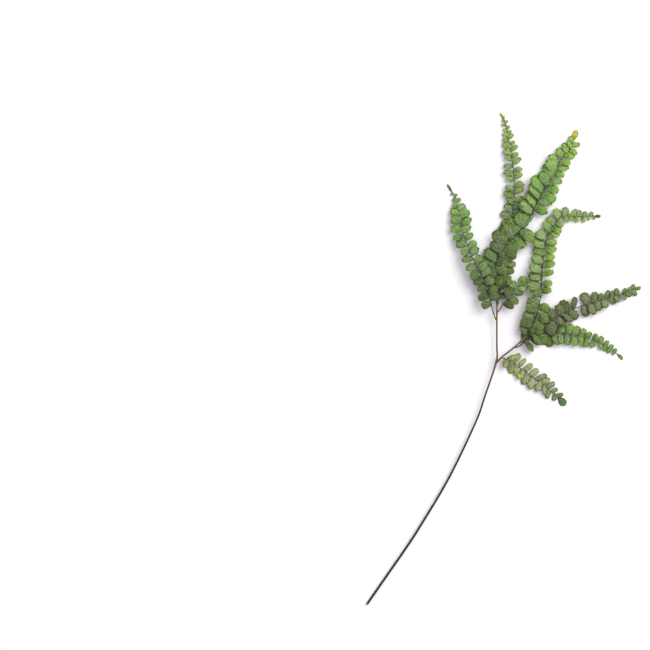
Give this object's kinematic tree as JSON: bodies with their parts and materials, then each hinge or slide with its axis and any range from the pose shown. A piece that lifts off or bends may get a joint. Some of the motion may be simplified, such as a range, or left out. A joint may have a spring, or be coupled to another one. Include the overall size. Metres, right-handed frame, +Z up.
{
  "type": "maidenhair fern frond",
  "caption": "Cut fern frond lying flat: a dark wiry stalk that forks into two arms, with a fan of leafy pinnae in toothed leaflets.",
  "frame": {"origin": "centre of the bounding box in X and Y, on the surface that the frond lies on", "axes": "+Y from the cut end of the stalk towards the fan of pinnae, +Z up from the surface, +X to the right as seen from above"},
  "size_m": [0.2477, 0.4432, 0.0106],
  "materials": {
    "stalk": "slightly glossy",
    "upper_green": "matte",
    "slender_green": "matte",
    "round_green": "matte",
    "bent_green": "matte",
    "dark_green": "matte",
    "drooping_green": "matte",
    "pale_green": "matte",
    "short_green": "matte"
  },
  "bodies": {
    "root": {"stipe": "stalk", "pinna_1_upper": "upper_green", "pinna_2_slender": "slender_green", "pinna_3_round": "round_green", "pinna_4_bent": "bent_green", "pinna_5_dark": "dark_green", "pinna_6_drooping": "drooping_green", "pinna_7_pale": "pale_green", "pinna_8_short": "short_green"}
  },
  "joints": []
}
